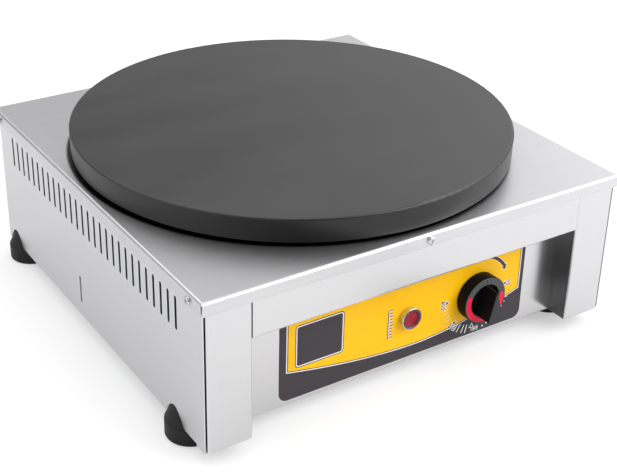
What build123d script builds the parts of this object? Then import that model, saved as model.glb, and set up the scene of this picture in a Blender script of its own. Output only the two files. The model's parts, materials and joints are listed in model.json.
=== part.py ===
from build123d import *
import os
from math import cos, hypot, pi, radians, sin

os.makedirs("parts", exist_ok=True)

# Electric crepe maker. Millimetres. The origin is on the cooking plate's axis at table level:
# X runs to the right, Y to the back and Z up, so the control panel faces -Y.

# ---------------------------------------------------------------- driving dimensions

# Cooking plate
PLATE_R = 200.0
PLATE_H = 21.9
PLATE_WEB = 11.5
PLATE_SKIRT_W = 12.5
PLATE_TAPER = 0.4
PLATE_EDGE_R = 2.0
PLATE_BEVEL = 1.0
RIM_GAP = 2.4

# Casing
CASE_Z = 15.8
CASE_H = 135.0
SHEET = 1.0
BEND_R = 2.0
LAP = 0.1
SIDE_OVERHANG = 2.0
REAR_OVERHANG = 8.3
CORNER_SEAM = 1.4
POST_GAP = 1.2
SIDE_FLANGE = 14.0

# Top cover
COVER_MARGIN_X = 7.8
COVER_MARGIN_Y = 7.8
COVER_T = 1.2
COVER_BEND_R = 2.8
COVER_FLANGE = 11.4
HOLE_CLEARANCE = 1.0
CORNER_SLIT = 1.0
CORNER_CHAMFER = 1.6

# Front legs and control panel
POST_W = 41.8
POST_RETURN = 12.0
POST_LIP = 13.0
LIP_BEND_R = 0.2
APRON_H = 33.1
RECESS_D = 21.4
PANEL_LIP = 12.0

# Vent slots
SLOT_COUNT = 28
REAR_SLOT_COUNT = 14
SLOT_PITCH = 12.2
SLOT_W = 3.6
SLOT_H = 29.8
SLOT_DROP = 31.3
SLOT_MID_Y = 1.7
HOOK_SLOT_Y = 22.0
HOOK_SLOT_Z = 44.8
HOOK_SLOT_H = 26.8
HOOK_SLOT_W = 3.2

# Feet
FOOT_R = 21.8
FOOT_BASE_H = 14.4
FOOT_H = 40.0
FOOT_TOP_R = 9.4
FOOT_INSET_X = 14.8
FOOT_INSET_FRONT = 50.8
FOOT_INSET_REAR = 21.3
FOOT_CLEARANCE = 1.0
FOOT_BORE_R = 3.2
FOOT_SCREW_R = 3.0
FOOT_SINK_R = 7.5
FOOT_SINK_H = 8.0
FOOT_EDGE_R = 1.5
FOOT_HEAD_AF = 10.0
FOOT_HEAD_H = 4.0
FOOT_NUT_H = 5.0
FOOT_WASHER_R = 6.4
FOOT_WASHER_T = 1.2
FOOT_SCREW_TAIL = 3.0

# Base plate
BASE_T = 1.2
BASE_FLANGE = 14.0

# Screws and nuts
SCREW_R = 1.9
SCREW_HOLE_R = 2.2
SCREW_HEAD_R = 3.5
SCREW_HEAD_H = 2.2
SCREW_HEAD_ROUND = 1.2
CROSS_L = 3.8
CROSS_W = 0.8
CROSS_DEPTH = 1.1
SCREW_DROP = 6.3
SCREW_FRONT_INSET = 19.8
SCREW_REAR_INSET = 17.8
WELD_NUT_W = 6.0
WELD_NUT_T = 3.2
NUT_HOLE_R = 1.95
REAR_SCREW_INSET = 7.5
REAR_SCREW_LOW = 58.0
REAR_SCREW_HIGH = 106.0
REAR_RELIEF = 10.0

# Heating pack
SUPPORT_CLEARANCE = 3.5
SUPPORT_T = 1.2
SUPPORT_FLANGE = 11.0
ELEMENT_R = 4.25
ELEMENT_GAP = 0.2
OUTER_RING_INSET = 21.0
RING_SPACING = 70.0
TERMINAL_SPACING = 44.0
ELBOW_R = 12.0
TERMINAL_DROP = 55.0
TERMINAL_PIN_R = 2.0
TERMINAL_PIN_H = 12.0
TERMINAL_AZIMUTH = 330.0
TERMINAL_CLEARANCE = 0.8
STUD_COUNT = 3
STUD_AZIMUTH = 30.0
STUD_OFFSET = 32.0
STUD_R = 4.0
STUD_FIT = 0.05
STUD_THREAD = 10.0
STUD_TAIL = 10.0
BOSS_R = 11.0
BOSS_H = 4.0
CLAMP_T = 2.0
CLAMP_ARM_W = 26.0
CLAMP_HUB_R = 42.0
CLAMP_HOLE_R = 20.0
CLAMP_OVERHANG = 13.0
STUD_NUT_AF = 13.0
STUD_NUT_H = 6.5
TRAY_CLEARANCE = 1.0
TRAY_FLANGE = 14.0
TRAY_DEPTH = 38.0
TRAY_BEND_R = 4.0
PAD_T = 22.0
PAD_CLEARANCE = 0.6
REFLECTOR_T = 0.8
REFLECTOR_RIM = 6.4

# Thermostat and its bulb
THERMOSTAT_W = 33.0
THERMOSTAT_D = 22.0
THERMOSTAT_FLANGE_W = 26.0
THERMOSTAT_FLANGE_H = 42.0
THERMOSTAT_FLANGE_T = 1.2
THERMOSTAT_SCREW_PITCH = 28.0
THERMOSTAT_SCREW_L = 6.0
BLADE_W = 6.4
BLADE_T = 0.8
BLADE_L = 9.0
BLADE_SPACING = 16.0
BLADE_DROP = 9.0
BUSH_R = 4.9
BUSH_HOLE_R = 5.3
BUSH_PROUD = 2.0
SHAFT_R = 3.0
SHAFT_FIT = 0.05
SHAFT_LENGTH = 32.0
SHAFT_PROUD = 18.0
SHAFT_FLAT = 1.6
SHAFT_FLAT_L = 11.0
SHAFT_END_GAP = 0.5
SHAFT_CHAMFER = 0.4
BULB_R = 3.0
BULB_L = 80.0
BULB_OFFSET = 35.0
BULB_AZIMUTH = 210.0
BULB_END_R = 1.3
CAPILLARY_R = 1.0
CAPILLARY_CLEARANCE = 1.5
CAPILLARY_LEAD = 31.0
CAPILLARY_DROP = 24.0
CAPILLARY_BENDS = (12.0, 20.0, 16.0)
CLIP_T = 0.8
CLIP_W = 12.0
CLIP_EAR = 7.0

# Control label
LABEL_W = 254.0
LABEL_H = 82.0
LABEL_LIFT = 5.2
LABEL_T = 0.4
LABEL_CORNER_R = 8.0
LABEL_WINDOW_R = 18.5

# Dial
KNOB_X = 74.0
KNOB_Z = 60.4
KNOB_R = 22.2
KNOB_DRAFT = 0.3
KNOB_GAP = 0.9
KNOB_RING_Z = 12.3
KNOB_WALL = 2.4
WELL_R = 15.4
WELL_SLOPE = 1.5
WELL_DEPTH = 5.5
WELL_WALL = 2.0
GRIP_Z = 27.0
GRIP_APEX = 15.2
GRIP_APEX_W = 1.2
GRIP_TAIL = 12.5
GRIP_TAIL_W = 15.4
GRIP_TAIL_BULGE = 1.6
GRIP_DRAFT = 1.5
GRIP_EDGE_R = 0.6
HUB_R = 6.2
HUB_GAP = 0.8
RIB_COUNT = 6
RIB_T = 1.2
RIB_BACK = 2.2
ARC_IN_R = 15.9
ARC_OUT_R = 20.7
ARC_DEPTH = 0.6
ARC_FIT = 0.05
ARC_START = 3.0
ARC_SWEEP = 201.0
TICK_W = 0.9
TICK_L = 4.0
TICK_DEPTH = 0.4
TICK_MID_R = 18.8
SPRING_T = 0.4
SPRING_W = 4.0
SPRING_L = 8.0
SPRING_POCKET = 0.6
SPRING_INSET = 1.0

# Pilot lamp
LAMP_X = 0.0
LAMP_Z = 62.3
LAMP_HOLE_R = 7.5
LAMP_BARREL_R = 7.3
LAMP_COLLAR_R = 9.2
LAMP_LIP_R = 10.0
LAMP_LIP_H = 1.0
LAMP_LIP_ROUND = 0.6
LAMP_PROUD = 6.0
LAMP_BORE_R = 8.0
LAMP_THROAT_R = 6.3
LAMP_SEAT = 1.0
LAMP_TAIL = 14.0
LAMP_BODY_R = 8.0
LAMP_BODY_L = 17.0
LAMP_BODY_ROUND = 1.0
LAMP_BLADE_W = 4.8
LAMP_BLADE_L = 7.0
LAMP_BLADE_SPACING = 7.2
LENS_FIT = 0.1
LENS_T = 2.4
LENS_CROWN = 0.9
LENS_STEM = 1.0
LAMP_NUT_AF = 19.0
LAMP_NUT_H = 3.5

# Cable gland
GLAND_X = 130.0
GLAND_Z = 70.0
GLAND_BORE_R = 4.25
GLAND_NECK_R = 6.4
GLAND_HOLE_R = 6.6
GLAND_AF = 20.0
GLAND_HEX_H = 4.6
GLAND_NECK_L = 5.0
GLAND_TAIL = 10.0
GLAND_CAP_H = 9.4
GLAND_CAP_FIT = 0.1
GLAND_CAP_R = 9.4
GLAND_CAP_ROUND = 3.8
GLAND_NUT_H = 4.0

# Terminal block and earth stud
BLOCK_INSET = 37.3
BLOCK_W = 46.0
BLOCK_D = 20.0
BLOCK_H = 17.0
BLOCK_STEP = 6.0
BLOCK_POLES = 3
BLOCK_SCREW_R = 2.4
BLOCK_FIXING = 14.0
BLOCK_WELL_FIT = 0.6
BLOCK_WELL_DEPTH = 6.0
BLOCK_SCREW_SUNK = 1.5
BLOCK_BORE_LIFT = 3.0
BLOCK_FIXING_FIT = 0.2
EARTH_SPACING = 46.0
EARTH_R = 2.5
EARTH_H = 18.0
EARTH_NUT_AF = 8.0
EARTH_NUT_H = 4.0
EARTH_NUT_GAP = 2.0

# ---------------------------------------------------------------- derived places

# The plate sets the casing's footprint and everything that nests under it.
COVER_W = 2 * (PLATE_R + COVER_MARGIN_X)
COVER_D = 2 * (PLATE_R + COVER_MARGIN_Y)
SUPPORT_OUTER_R = PLATE_R - PLATE_SKIRT_W - SUPPORT_CLEARANCE
SUPPORT_R = SUPPORT_OUTER_R - SUPPORT_FLANGE
COVER_HOLE_R = SUPPORT_R - HOLE_CLEARANCE
TRAY_WALL_R = COVER_HOLE_R - TRAY_CLEARANCE
OUTER_RING_R = TRAY_WALL_R - OUTER_RING_INSET
INNER_RING_R = OUTER_RING_R - RING_SPACING
STUD_CIRCLE_R = INNER_RING_R + STUD_OFFSET
CLAMP_REACH = OUTER_RING_R + CLAMP_OVERHANG
BULB_CIRCLE_R = INNER_RING_R + BULB_OFFSET

COVER_TOP = CASE_Z + CASE_H + COVER_T
COVER_LOW = COVER_TOP - COVER_T
PLATE_Z = COVER_TOP + RIM_GAP
PLATE_TOP = PLATE_Z + PLATE_H
WEB_Z = PLATE_TOP - PLATE_WEB

SIDE_X = COVER_W / 2 - SIDE_OVERHANG
FRONT_Y = -COVER_D / 2 + COVER_T + LAP
REAR_Y = COVER_D / 2 - REAR_OVERHANG
SIDE_FRONT_Y = FRONT_Y + CORNER_SEAM
POST_X = SIDE_X - SHEET - POST_GAP
RECESS_X = SIDE_X - POST_W
PANEL_Y = FRONT_Y + RECESS_D
LABEL_Y = PANEL_Y - LABEL_T
WALL_TOP = COVER_LOW - (COVER_BEND_R - COVER_T) - LAP
APRON_Z = COVER_TOP - COVER_FLANGE - APRON_H
SLOT_MID_Z = COVER_TOP - SLOT_DROP
REAR_PANEL_Y = REAR_Y - SHEET - LAP

FOOT_X = SIDE_X - FOOT_INSET_X
FOOT_FRONT_Y = FRONT_Y + FOOT_INSET_FRONT
FOOT_REAR_Y = REAR_Y - FOOT_INSET_REAR
FOOT_PLACES = {
    "foot_front_left": (-FOOT_X, FOOT_FRONT_Y),
    "foot_front_right": (FOOT_X, FOOT_FRONT_Y),
    "foot_rear_left": (-FOOT_X, FOOT_REAR_Y),
    "foot_rear_right": (FOOT_X, FOOT_REAR_Y),
}
BASE_TOP = FOOT_H + BASE_T
BASE_X = SIDE_X - SHEET - LAP
BASE_FRONT_Y = PANEL_Y + 2 * SHEET + 2 * LAP
BASE_REAR_Y = REAR_PANEL_Y - SHEET - LAP
BLOCK_X = GLAND_X
BLOCK_Y = BASE_REAR_Y - BLOCK_INSET
EARTH_X = BLOCK_X - EARTH_SPACING

ELEMENT_Z = WEB_Z - ELEMENT_GAP - ELEMENT_R
CLAMP_TOP = ELEMENT_Z - ELEMENT_R - ELEMENT_GAP
TRAY_FLOOR_TOP = COVER_LOW - TRAY_DEPTH + SHEET
TRAY_LOW = COVER_LOW - TRAY_DEPTH
PAD_TOP = TRAY_FLOOR_TOP + PAD_T
STUD_PLACES = [
    (STUD_CIRCLE_R * cos(radians(a)), STUD_CIRCLE_R * sin(radians(a)))
    for a in [STUD_AZIMUTH + 360 / STUD_COUNT * i for i in range(STUD_COUNT)]
]
BULB_Z = WEB_Z - ELEMENT_GAP - BULB_R

# Planes on the control panel and the rear panel: local Z points out of the casing, local Y up.
DIAL = Plane(origin=(KNOB_X, LABEL_Y, KNOB_Z), x_dir=(1, 0, 0), z_dir=(0, -1, 0))
LAMP = Plane(origin=(LAMP_X, LABEL_Y, LAMP_Z), x_dir=(1, 0, 0), z_dir=(0, -1, 0))
GLAND = Plane(origin=(GLAND_X, REAR_PANEL_Y, GLAND_Z), x_dir=(-1, 0, 0), z_dir=(0, 1, 0))

# Screw places: head seat and outward direction.
SCREW_Z = COVER_TOP - SCREW_DROP
SIDE_SCREW_YS = (SCREW_FRONT_INSET - COVER_D / 2, COVER_D / 2 - SCREW_REAR_INSET)
REAR_SCREW_X = SIDE_X - REAR_SCREW_INSET
REAR_SCREW_ZS = (CASE_Z + REAR_SCREW_LOW, CASE_Z + REAR_SCREW_HIGH)


# ---------------------------------------------------------------- helpers

def save(name, shape):
    """Write one node's solids."""
    solids = shape.solids()
    node = solids[0] if len(solids) == 1 else Compound(children=list(solids))
    node.label = name
    export_step(node, f"parts/{name}.step")


def group(shapes):
    """Several separate solids as one node."""
    return Compound([solid for shape in shapes for solid in shape.solids()])


def lathe(points):
    """A turned solid about Z from its half section in (radius, height)."""
    return revolve(Plane.XZ * make_face(Polyline(*points, close=True)), Axis.Z)


def rod(radius, low, high, x=0.0, y=0.0):
    """An upright cylinder between two heights."""
    return Pos(x, y, (low + high) / 2) * Cylinder(radius, high - low)


def block(x, y, z):
    """A box from three (low, high) pairs."""
    size = [pair[1] - pair[0] for pair in (x, y, z)]
    middle = [(pair[0] + pair[1]) / 2 for pair in (x, y, z)]
    return Pos(*middle) * Box(*size)


def folded(points, side, thickness=SHEET, radius=BEND_R):
    """The section of a folded sheet: its outside line, bent at each corner, and a thickness."""
    line = FilletPolyline(*points, radius=radius)
    return make_face(offset(line, amount=thickness, side=side))


def corners_at(face, places):
    """The vertices of a flat outline that lie at given places."""
    found = []
    for u, v in places:
        found += [c for c in face.vertices() if hypot(c.X - u, c.Y - v) < SHEET / 10]
    return found


def facing(x, y, z, direction):
    """A plane whose local Z points along a direction."""
    return Plane(origin=(x, y, z), z_dir=direction)


def pan_screw(length):
    """A cross-head screw: the head stands on z = 0 and the shank hangs below it."""
    head = rod(SCREW_HEAD_R, 0, SCREW_HEAD_H)
    head = fillet(head.edges().group_by(Axis.Z)[-1], SCREW_HEAD_ROUND)
    cross = Box(CROSS_L, CROSS_W, 2 * CROSS_DEPTH) + Box(CROSS_W, CROSS_L, 2 * CROSS_DEPTH)
    return head + rod(SCREW_R, -length, 0) - Pos(0, 0, SCREW_HEAD_H) * cross


def hex_nut(across, height, hole_r):
    """A hexagon nut standing on z = 0."""
    outline = RegularPolygon(across / 2, 6, major_radius=False) - Circle(hole_r)
    return extrude(outline, height)


def weld_nut():
    """A square weld nut hanging below z = 0."""
    outline = Rectangle(WELD_NUT_W, WELD_NUT_W) - Circle(NUT_HOLE_R)
    return extrude(outline, -WELD_NUT_T)


def slot_cutter(plane, count, pitch, width, height):
    """Upright slots with round ends, in a row along the plane's local X."""
    shape = Rot(0, 0, 90) * SlotOverall(height, width)
    row = Sketch() + [Pos(pitch * (i - (count - 1) / 2), 0) * shape for i in range(count)]
    return extrude(plane * row, 2 * SHEET, both=True)


def blade(x, y, size_x, size_y, low, length):
    """A flat connector blade that hangs below a face."""
    return block((x - size_x / 2, x + size_x / 2), (y - size_y / 2, y + size_y / 2), (low - length, low))


def foot_cone(x, y, extra):
    """The foot's outside, grown by a clearance."""
    slope = (FOOT_R - FOOT_TOP_R) / (FOOT_H - FOOT_BASE_H)
    tip_h = FOOT_H + BASE_T
    tip_r = FOOT_TOP_R + extra - slope * BASE_T
    outline = [
        (0, 0), (FOOT_R + extra, 0), (FOOT_R + extra, FOOT_BASE_H), (tip_r, tip_h), (0, tip_h),
    ]
    return Pos(x, y) * lathe(outline)


# ---------------------------------------------------------------- cooking plate and heating pack

def crepe_plate():
    """Cast plate: flat top with an eased edge, skirt, and a boss under the web for each stud."""
    low_r = PLATE_R - PLATE_TAPER
    inner_r = PLATE_R - PLATE_SKIRT_W
    body = lathe([
        (0, PLATE_TOP), (PLATE_R, PLATE_TOP), (low_r, PLATE_Z + PLATE_BEVEL),
        (low_r - PLATE_BEVEL, PLATE_Z), (inner_r, PLATE_Z), (inner_r - PLATE_BEVEL, WEB_Z), (0, WEB_Z),
    ])
    rings = body.edges().filter_by(GeomType.CIRCLE)
    body = fillet([e for e in rings if e.radius > PLATE_R - PLATE_TAPER / 2], PLATE_EDGE_R)
    for x, y in STUD_PLACES:
        body += rod(BOSS_R, WEB_Z - BOSS_H, WEB_Z + BOSS_H, x, y)
    for x, y in STUD_PLACES:
        body -= rod(STUD_R + STUD_FIT, WEB_Z - BOSS_H, WEB_Z - BOSS_H + STUD_THREAD, x, y)
    return body


def plate_support_ring():
    """Angle ring that carries the plate on the cover."""
    return lathe([
        (SUPPORT_R, COVER_TOP), (SUPPORT_OUTER_R, COVER_TOP), (SUPPORT_OUTER_R, COVER_TOP + SUPPORT_T),
        (SUPPORT_R + SUPPORT_T, COVER_TOP + SUPPORT_T), (SUPPORT_R + SUPPORT_T, WEB_Z),
        (SUPPORT_R, WEB_Z),
    ])


def ring_gap(ring_r):
    """The angle left open between a heating ring's two ends, in degrees."""
    return TERMINAL_SPACING / (2 * pi * ring_r) * 360


def terminal_places(ring_r):
    """Where a heating ring's two ends turn down, as (x, y, direction of the tube)."""
    half = ring_gap(ring_r) / 2
    places = []
    for turn in (-1, 1):
        end = TERMINAL_AZIMUTH + turn * half
        along = end - turn * 90
        x = ring_r * cos(radians(end)) + ELBOW_R * cos(radians(along))
        y = ring_r * sin(radians(end)) + ELBOW_R * sin(radians(along))
        places.append((x, y, along))
    return places


def heating_element(ring_r):
    """A tubular ring with both ends bent down to their terminal pins."""
    half = ring_gap(ring_r) / 2
    section = Pos(ring_r, 0, ELEMENT_Z) * (Plane.XZ * Circle(ELEMENT_R))
    tube = Rot(0, 0, TERMINAL_AZIMUTH + half) * revolve(section, Axis.Z, 360 - 2 * half)
    bend_axis = Axis((0, 0, -ELBOW_R), (0, 1, 0))
    elbow = revolve(Plane.YZ * Circle(ELEMENT_R), bend_axis, 90)
    leg = rod(ELEMENT_R, -TERMINAL_DROP, -ELBOW_R, ELBOW_R)
    pin = rod(TERMINAL_PIN_R, -TERMINAL_DROP - TERMINAL_PIN_H, -TERMINAL_DROP, ELBOW_R)
    end = elbow + leg + pin
    for x, y, along in terminal_places(ring_r):
        start = (x - ELBOW_R * cos(radians(along)), y - ELBOW_R * sin(radians(along)))
        tube += Pos(start[0], start[1], ELEMENT_Z) * Rot(0, 0, along) * end
    return tube


def terminal_holes(low, high):
    """Clearance holes for the elements' legs, the studs and the capillary."""
    holes = []
    for ring_r in (OUTER_RING_R, INNER_RING_R):
        for x, y, _ in terminal_places(ring_r):
            holes.append(rod(ELEMENT_R + TERMINAL_CLEARANCE, low, high, x, y))
    for x, y in STUD_PLACES:
        holes.append(rod(STUD_R + STUD_FIT, low, high, x, y))
    down = capillary_points()[1]
    holes.append(rod(CAPILLARY_R + CAPILLARY_CLEARANCE, low, high, down[0], down[1]))
    return holes


def plate_studs():
    """Threaded studs from the plate's bosses down through the tray."""
    top = WEB_Z - BOSS_H + STUD_THREAD
    low = TRAY_LOW - STUD_NUT_H - STUD_TAIL
    return group([rod(STUD_R, low, top, x, y) for x, y in STUD_PLACES])


def element_clamp():
    """Three-armed plate that holds both elements up against the cooking plate."""
    low = CLAMP_TOP - CLAMP_T
    body = rod(CLAMP_HUB_R, low, CLAMP_TOP)
    for i in range(STUD_COUNT):
        arm = block((0, CLAMP_REACH), (-CLAMP_ARM_W / 2, CLAMP_ARM_W / 2), (low, CLAMP_TOP))
        body += Rot(0, 0, STUD_AZIMUTH + 360 / STUD_COUNT * i) * arm
    body -= rod(CLAMP_HOLE_R, low, CLAMP_TOP)
    for x, y in STUD_PLACES:
        body -= rod(STUD_R + STUD_FIT, low, CLAMP_TOP, x, y)
    return body


def stud_nuts(top):
    """One nut on each stud, with its upper face at a height."""
    nut = hex_nut(STUD_NUT_AF, STUD_NUT_H, STUD_R + STUD_FIT)
    return group([Pos(x, y, top - STUD_NUT_H) * nut for x, y in STUD_PLACES])


def heat_tray():
    """Drawn pan that hangs below the cover and holds the insulation."""
    wall_in = TRAY_WALL_R - SHEET
    body = lathe([
        (0, TRAY_LOW), (TRAY_WALL_R, TRAY_LOW), (TRAY_WALL_R, COVER_LOW - SHEET),
        (TRAY_WALL_R + TRAY_FLANGE, COVER_LOW - SHEET), (TRAY_WALL_R + TRAY_FLANGE, COVER_LOW),
        (wall_in, COVER_LOW), (wall_in, TRAY_FLOOR_TOP), (0, TRAY_FLOOR_TOP),
    ])
    circles = body.edges().filter_by(GeomType.CIRCLE)
    foot = [e for e in circles if abs(e.center().Z - TRAY_LOW) < SHEET / 4]
    body = fillet(foot, TRAY_BEND_R)
    circles = body.edges().filter_by(GeomType.CIRCLE)
    inside = [e for e in circles if abs(e.center().Z - TRAY_FLOOR_TOP) < SHEET / 4]
    body = fillet(inside, TRAY_BEND_R - SHEET)
    for hole in terminal_holes(TRAY_LOW, TRAY_FLOOR_TOP):
        body -= hole
    return body


def insulation_pad():
    """Ceramic fibre disc in the tray, with its lower edge eased to the tray's bend."""
    radius = TRAY_WALL_R - SHEET - PAD_CLEARANCE
    pad = rod(radius, TRAY_FLOOR_TOP, PAD_TOP)
    pad = chamfer(pad.edges().group_by(Axis.Z)[0], TRAY_BEND_R)
    for hole in terminal_holes(TRAY_FLOOR_TOP, PAD_TOP):
        pad -= hole
    return pad


def reflector_plate():
    """Bright disc on the insulation, with a turned-up edge."""
    radius = TRAY_WALL_R - SHEET - PAD_CLEARANCE
    rim_top = PAD_TOP + REFLECTOR_RIM
    disc = lathe([
        (0, PAD_TOP), (radius, PAD_TOP), (radius, rim_top), (radius - REFLECTOR_T, rim_top),
        (radius - REFLECTOR_T, PAD_TOP + REFLECTOR_T), (0, PAD_TOP + REFLECTOR_T),
    ])
    for hole in terminal_holes(PAD_TOP, PAD_TOP + REFLECTOR_T):
        disc -= hole
    return disc


# ---------------------------------------------------------------- casing

def top_cover():
    """Folded cover: flanges down all round, slit corners and a hole for the heating pack."""
    low = COVER_TOP - COVER_FLANGE
    half_w, half_d = COVER_W / 2, COVER_D / 2
    outer = block((-half_w, half_w), (-half_d, half_d), (low, COVER_TOP))
    outer = fillet(outer.edges().group_by(Axis.Z)[-1], COVER_BEND_R)
    in_w, in_d = half_w - COVER_T, half_d - COVER_T
    inner = block((-in_w, in_w), (-in_d, in_d), (low, COVER_LOW))
    inner = fillet(inner.edges().group_by(Axis.Z)[-1], COVER_BEND_R - COVER_T)
    body = outer - inner - rod(COVER_HOLE_R, COVER_LOW, COVER_TOP)
    reach = 4 * COVER_T
    slit_h = COVER_FLANGE - COVER_BEND_R / 2
    for x in (-1, 1):
        for y in (-1, 1):
            slit = Rot(0, 0, 45 * x * y) * Box(reach, CORNER_SLIT, slit_h)
            body -= Pos(x * half_w, y * half_d, low + slit_h / 2) * slit
            nick = Plane.XZ * RegularPolygon(CORNER_CHAMFER, 4)
            wedge = extrude(nick, COVER_T, both=True)
            body -= Pos(x * half_w, y * half_d, low) * wedge
    for plane in cover_screw_planes():
        body -= plane * rod(SCREW_HOLE_R, -2 * COVER_T, COVER_T)
    return body


def cover_screw_planes():
    """Head seats on the cover's flanges: one in front, two on each side."""
    planes = [facing(0, -COVER_D / 2, SCREW_Z, (0, -1, 0))]
    for x in (-1, 1):
        for y in SIDE_SCREW_YS:
            planes.append(facing(x * COVER_W / 2, y, SCREW_Z, (x, 0, 0)))
    return planes


def cover_screws():
    """Screws through the cover's flanges, long enough to pass their nuts."""
    length = COVER_T + SIDE_OVERHANG + SHEET + WELD_NUT_T
    return group([plane * pan_screw(length) for plane in cover_screw_planes()])


def cover_nuts():
    """Weld nuts inside the side panels and behind the front panel's apron."""
    nuts = [facing(0, FRONT_Y + SHEET, SCREW_Z, (0, -1, 0)) * weld_nut()]
    for x in (-1, 1):
        for y in SIDE_SCREW_YS:
            nuts.append(facing(x * (SIDE_X - SHEET), y, SCREW_Z, (x, 0, 0)) * weld_nut())
    return group(nuts)


def side_panel():
    """Left side panel: a channel with vent slots, a rear return and a notch round each foot."""
    top = COVER_LOW
    outline = [
        (-SIDE_X + SIDE_FLANGE, top), (-SIDE_X, top), (-SIDE_X, CASE_Z), (-SIDE_X + SIDE_FLANGE, CASE_Z),
    ]
    section = folded(outline, Side.LEFT)
    body = extrude(Plane.XZ.offset(-REAR_Y) * section, REAR_Y - SIDE_FRONT_Y)
    flange_start = SIDE_FRONT_Y + POST_RETURN + SHEET
    wall_in = -SIDE_X + SHEET
    body -= block((-SIDE_X, 0), (SIDE_FRONT_Y, flange_start), (CASE_Z, top))
    body += block((-SIDE_X, wall_in), (SIDE_FRONT_Y, flange_start), (CASE_Z, WALL_TOP))
    turn = [(-SIDE_X, REAR_Y - SIDE_FLANGE), (-SIDE_X, REAR_Y), (-SIDE_X + SIDE_FLANGE, REAR_Y)]
    corner = extrude(Pos(0, 0, CASE_Z) * folded(turn, Side.RIGHT), WALL_TOP - CASE_Z)
    sharp = block((-SIDE_X, -SIDE_X + BEND_R), (REAR_Y - BEND_R, REAR_Y), (CASE_Z, top))
    body = body - sharp + corner
    wall = Plane(origin=(-SIDE_X, SLOT_MID_Y, SLOT_MID_Z), x_dir=(0, -1, 0), z_dir=(-1, 0, 0))
    body -= slot_cutter(wall, SLOT_COUNT, SLOT_PITCH, SLOT_W, SLOT_H)
    hook = Plane(origin=(-SIDE_X, HOOK_SLOT_Y, HOOK_SLOT_Z), x_dir=(0, -1, 0), z_dir=(-1, 0, 0))
    body -= slot_cutter(hook, 1, 0, HOOK_SLOT_W, HOOK_SLOT_H)
    for y in (FOOT_FRONT_Y, FOOT_REAR_Y):
        body -= foot_cone(-FOOT_X, y, FOOT_CLEARANCE)
    for y in SIDE_SCREW_YS:
        body -= facing(-SIDE_X, y, SCREW_Z, (-1, 0, 0)) * rod(SCREW_HOLE_R, -2 * SHEET, SHEET)
    for z in REAR_SCREW_ZS:
        seat = facing(-REAR_SCREW_X, REAR_Y, z, (0, 1, 0))
        body -= seat * rod(SCREW_HOLE_R, -2 * SHEET, SHEET)
    return body


def front_post():
    """Left front leg: a channel whose inner wall ends in a lip behind the control panel."""
    lip_y = PANEL_Y + SHEET + LAP
    outline = [
        (-POST_X, FRONT_Y + POST_RETURN), (-POST_X, FRONT_Y), (-RECESS_X, FRONT_Y),
        (-RECESS_X, lip_y), (-RECESS_X + POST_LIP, lip_y),
    ]
    section = folded(outline, Side.LEFT, radius=[BEND_R, BEND_R, LIP_BEND_R])
    return extrude(Pos(0, 0, CASE_Z) * section, WALL_TOP - CASE_Z)


def front_panel():
    """Apron, shelf, recessed control panel and bottom return, folded from one sheet."""
    apron_back = FRONT_Y + SHEET
    shelf_top = APRON_Z + SHEET
    panel_back = PANEL_Y + SHEET
    outline = make_face(Polyline(
        (FRONT_Y, WALL_TOP), (FRONT_Y, APRON_Z), (PANEL_Y, APRON_Z), (PANEL_Y, CASE_Z),
        (panel_back + PANEL_LIP, CASE_Z), (panel_back + PANEL_LIP, CASE_Z + SHEET),
        (panel_back, CASE_Z + SHEET), (panel_back, shelf_top), (apron_back, shelf_top),
        (apron_back, WALL_TOP), close=True,
    ))
    convex = [(FRONT_Y, APRON_Z), (PANEL_Y, CASE_Z), (panel_back, shelf_top)]
    concave = [(apron_back, shelf_top), (panel_back, CASE_Z + SHEET), (PANEL_Y, APRON_Z)]
    outline = fillet(corners_at(outline, convex), BEND_R)
    outline = fillet(corners_at(outline, concave), BEND_R - SHEET)
    half = RECESS_X - LAP
    body = extrude(Plane.YZ.offset(-half) * outline, 2 * half)
    lip_half = RECESS_X - POST_LIP - LAP
    for x in (-1, 1):
        ends = sorted((x * lip_half, x * RECESS_X))
        body -= block(ends, (panel_back, panel_back + PANEL_LIP), (CASE_Z, CASE_Z + BEND_R))
    depth = 2 * SHEET
    body -= DIAL * rod(BUSH_HOLE_R, -depth, 0)
    for y in (-1, 1):
        body -= DIAL * rod(SCREW_HOLE_R, -depth, 0, 0, y * THERMOSTAT_SCREW_PITCH / 2)
    body -= LAMP * rod(LAMP_HOLE_R, -depth, 0)
    body -= facing(0, FRONT_Y, SCREW_Z, (0, -1, 0)) * rod(SCREW_HOLE_R, -depth, SHEET)
    return body


def rear_panel():
    """Rear sheet between the side panels' returns, with stiffening flanges and vents."""
    low, high = CASE_Z + SHEET + 2 * LAP, COVER_LOW - SHEET - 2 * LAP
    inner_y = REAR_PANEL_Y - SIDE_FLANGE
    outline = [(inner_y, low), (REAR_PANEL_Y, low), (REAR_PANEL_Y, high), (inner_y, high)]
    half = SIDE_X - BEND_R - LAP
    body = extrude(Plane.YZ.offset(-half) * folded(outline, Side.LEFT), 2 * half)
    for x in (-1, 1):
        ends = sorted((x * half, x * (half - REAR_RELIEF)))
        body -= block(ends, (inner_y, REAR_PANEL_Y - SHEET), (low, high))
    wall = Plane(origin=(0, REAR_PANEL_Y, SLOT_MID_Z), x_dir=(-1, 0, 0), z_dir=(0, 1, 0))
    body -= slot_cutter(wall, REAR_SLOT_COUNT, SLOT_PITCH, SLOT_W, SLOT_H)
    body -= GLAND * rod(GLAND_HOLE_R, -2 * SHEET, SHEET)
    for x in (-1, 1):
        body -= foot_cone(x * FOOT_X, FOOT_REAR_Y, FOOT_CLEARANCE)
        for z in REAR_SCREW_ZS:
            seat = facing(x * REAR_SCREW_X, REAR_PANEL_Y, z, (0, 1, 0))
            body -= seat * rod(SCREW_HOLE_R, -2 * SHEET, SHEET)
    return body


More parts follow.
